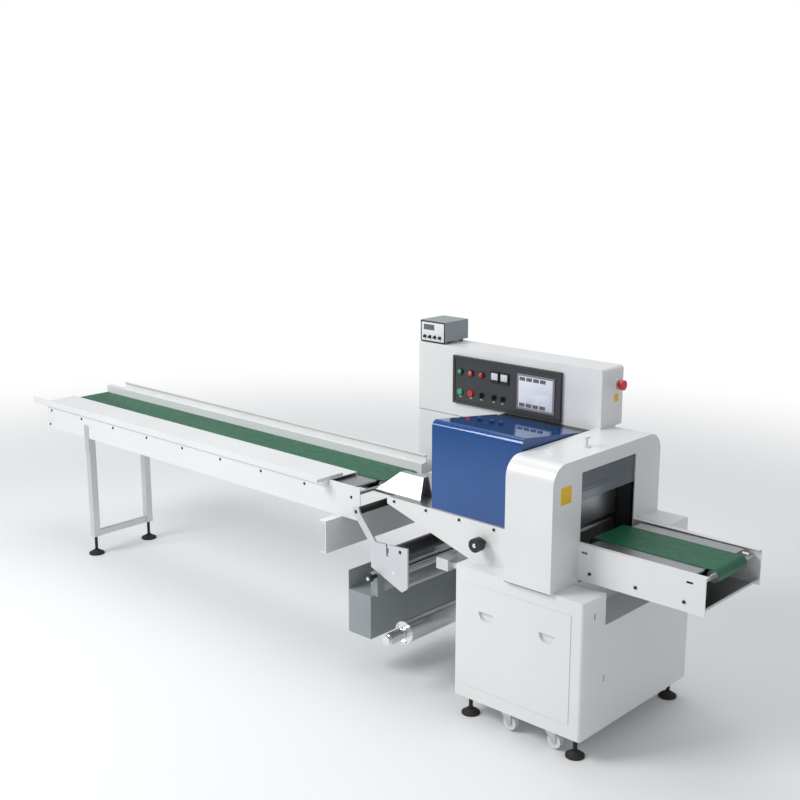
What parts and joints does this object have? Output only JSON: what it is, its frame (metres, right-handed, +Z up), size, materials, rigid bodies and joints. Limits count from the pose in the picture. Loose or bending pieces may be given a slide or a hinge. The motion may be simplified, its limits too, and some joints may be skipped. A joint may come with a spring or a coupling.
{
  "type": "horizontal flow wrapper",
  "caption": "Horizontal flow wrapping machine with a long infeed conveyor, film unwinding, forming section under a hinged blue cover, end-sealing jaws in a hood and a short outfeed conveyor.",
  "frame": {"origin": "on the floor under the product line, halfway along the machine", "axes": "+X runs with the product from infeed to outfeed, +Y points away from the operator, +Z up"},
  "size_m": [4.026, 0.807, 1.415],
  "materials": {
    "white_enamel": "satin powder coat",
    "grey_steel": "fine brushed",
    "bare_aluminium": "satin",
    "bright_chrome": "polished",
    "black_steel": "semi-gloss",
    "grey_enamel": "satin",
    "black_plastic": "matte",
    "red_plastic": "gloss",
    "green_plastic": "gloss",
    "display_plastic": "gloss",
    "blue_acrylic": "clear tinted",
    "clear_acrylic": "clear",
    "belt_rubber": "fine weave",
    "black_rubber": "matte",
    "tyre_rubber": "matte"
  },
  "bodies": {
    "machine": {"base_cabinet": "white_enamel", "base_panels": "white_enamel", "rear_drive_cover": "white_enamel", "levelling_feet": "black_rubber", "rear_frame": "white_enamel", "control_cabinet": "white_enamel", "control_fascia": "black_plastic", "touch_screen": "display_plastic", "display_modules": "black_plastic", "pilot_lamps": "red_plastic", "stop_switch_base": "white_enamel", "controller_box": "grey_enamel", "front_side_plate": "white_enamel", "forming_table": "grey_steel", "seal_drive_unit": "white_enamel", "film_former": "grey_steel", "cover_hinge_bar": "black_steel", "seal_arch": "white_enamel", "seal_window": "clear_acrylic", "jaw_frame": "black_steel", "pressure_post": "white_enamel", "outfeed_belt": "belt_rubber", "infeed_belt": "belt_rubber", "conveyor_rollers": "grey_steel", "outfeed_sides": "white_enamel", "outfeed_bed": "grey_steel", "infeed_front_side": "white_enamel", "infeed_back_side": "white_enamel", "infeed_guard": "white_enamel", "infeed_top_rail": "bare_aluminium", "infeed_bed": "grey_steel", "leg_stand": "white_enamel", "infeed_support": "white_enamel", "film_front_plate": "bare_aluminium", "film_back_plate": "white_enamel", "film_motor_box": "grey_enamel", "web_guide_block": "bare_aluminium"},
    "push_button_1_body": {"push_button_1": "green_plastic"},
    "push_button_2_body": {"push_button_2": "red_plastic"},
    "selector_knob_1_body": {"selector_knob_1": "black_plastic"},
    "selector_knob_2_body": {"selector_knob_2": "black_plastic"},
    "selector_knob_3_body": {"selector_knob_3": "black_plastic"},
    "stop_button_body": {"stop_button": "red_plastic"},
    "handwheel_body": {"handwheel": "black_plastic"},
    "safety_cover_body": {"safety_cover": "blue_acrylic"},
    "upper_jaw_body": {"upper_jaw": "grey_steel"},
    "lower_jaw_body": {"lower_jaw": "grey_steel"},
    "film_shaft_body": {"film_shaft": "bright_chrome"},
    "web_roller_1_body": {"web_roller_1": "black_steel"},
    "web_roller_2_body": {"web_roller_2": "bright_chrome"},
    "web_roller_3_body": {"web_roller_3": "black_rubber"},
    "lock_knob_body": {"lock_knob": "black_plastic"},
    "caster_fork_1_body": {"caster_fork_1": "grey_steel"},
    "caster_fork_2_body": {"caster_fork_2": "grey_steel"},
    "caster_fork_3_body": {"caster_fork_3": "grey_steel"},
    "caster_fork_4_body": {"caster_fork_4": "grey_steel"},
    "caster_wheel_1_body": {"caster_wheel_1": "tyre_rubber"},
    "caster_wheel_2_body": {"caster_wheel_2": "tyre_rubber"},
    "caster_wheel_3_body": {"caster_wheel_3": "tyre_rubber"},
    "caster_wheel_4_body": {"caster_wheel_4": "tyre_rubber"}
  },
  "joints": [
    {"name": "cover_lift", "type": "hinge", "parent": "machine", "child": "safety_cover_body", "pos_m": [1.0645, 0.143, 1.075], "axis": [-1, 0, 0], "range_deg": [0, 60]},
    {"name": "upper_jaw_turn", "type": "hinge", "parent": "machine", "child": "upper_jaw_body", "pos_m": [1.391, 0, 0.847], "axis": [0, 1, 0], "continuous": true},
    {"name": "lower_jaw_turn", "type": "hinge", "parent": "machine", "child": "lower_jaw_body", "pos_m": [1.391, 0, 0.693], "axis": [0, 1, 0], "continuous": true},
    {"name": "film_shaft_turn", "type": "hinge", "parent": "machine", "child": "film_shaft_body", "pos_m": [0.74, 0, 0.232], "axis": [0, 1, 0], "continuous": true},
    {"name": "web_roller_1_turn", "type": "hinge", "parent": "machine", "child": "web_roller_1_body", "pos_m": [0.757, 0, 0.59], "axis": [0, 1, 0], "continuous": true},
    {"name": "web_roller_2_turn", "type": "hinge", "parent": "machine", "child": "web_roller_2_body", "pos_m": [0.719, 0, 0.493], "axis": [0, 1, 0], "continuous": true},
    {"name": "web_roller_3_turn", "type": "hinge", "parent": "machine", "child": "web_roller_3_body", "pos_m": [0.513, 0, 0.704], "axis": [0, 1, 0], "continuous": true},
    {"name": "handwheel_turn", "type": "hinge", "parent": "machine", "child": "handwheel_body", "pos_m": [1.114, -0.28, 0.699], "axis": [0, 1, 0], "continuous": true},
    {"name": "lock_knob_turn", "type": "hinge", "parent": "machine", "child": "lock_knob_body", "pos_m": [0.608, -0.32, 0.449], "axis": [0, 1, 0], "continuous": true},
    {"name": "stop_button_push", "type": "slide", "parent": "machine", "child": "stop_button_body", "axis": [-1, 0, 0], "range_m": [0, 0.005], "stiffness_N_per_m": 600},
    {"name": "push_button_1_push", "type": "slide", "parent": "machine", "child": "push_button_1_body", "axis": [0, 1, 0], "range_m": [0, 0.003], "stiffness_N_per_m": 500},
    {"name": "push_button_2_push", "type": "slide", "parent": "machine", "child": "push_button_2_body", "axis": [0, 1, 0], "range_m": [0, 0.003], "stiffness_N_per_m": 500},
    {"name": "selector_knob_1_turn", "type": "hinge", "parent": "machine", "child": "selector_knob_1_body", "pos_m": [0.731, 0.19, 1.135], "axis": [0, -1, 0], "range_deg": [-45, 45]},
    {"name": "selector_knob_2_turn", "type": "hinge", "parent": "machine", "child": "selector_knob_2_body", "pos_m": [0.796, 0.19, 1.135], "axis": [0, -1, 0], "range_deg": [-135, 135]},
    {"name": "selector_knob_3_turn", "type": "hinge", "parent": "machine", "child": "selector_knob_3_body", "pos_m": [0.842, 0.19, 1.135], "axis": [0, -1, 0], "range_deg": [-135, 135]},
    {"name": "caster_swivel_1", "type": "hinge", "parent": "machine", "child": "caster_fork_1_body", "pos_m": [1.477, -0.293, 0.08], "axis": [0, 0, 1], "continuous": true},
    {"name": "caster_wheel_1_turn", "type": "hinge", "parent": "caster_fork_1_body", "child": "caster_wheel_1_body", "pos_m": [1.495, -0.293, 0.035], "axis": [0, 1, 0], "continuous": true},
    {"name": "caster_swivel_2", "type": "hinge", "parent": "machine", "child": "caster_fork_2_body", "pos_m": [1.272, -0.293, 0.08], "axis": [0, 0, 1], "continuous": true},
    {"name": "caster_wheel_2_turn", "type": "hinge", "parent": "caster_fork_2_body", "child": "caster_wheel_2_body", "pos_m": [1.29, -0.293, 0.035], "axis": [0, 1, 0], "continuous": true},
    {"name": "caster_swivel_3", "type": "hinge", "parent": "machine", "child": "caster_fork_3_body", "pos_m": [1.477, 0.363, 0.08], "axis": [0, 0, 1], "continuous": true},
    {"name": "caster_wheel_3_turn", "type": "hinge", "parent": "caster_fork_3_body", "child": "caster_wheel_3_body", "pos_m": [1.495, 0.363, 0.035], "axis": [0, 1, 0], "continuous": true},
    {"name": "caster_swivel_4", "type": "hinge", "parent": "machine", "child": "caster_fork_4_body", "pos_m": [1.272, 0.363, 0.08], "axis": [0, 0, 1], "continuous": true},
    {"name": "caster_wheel_4_turn", "type": "hinge", "parent": "caster_fork_4_body", "child": "caster_wheel_4_body", "pos_m": [1.29, 0.363, 0.035], "axis": [0, 1, 0], "continuous": true}
  ],
  "couplings": [
    {"joint": "lower_jaw_turn", "follows": "upper_jaw_turn", "ratio": -1}
  ]
}
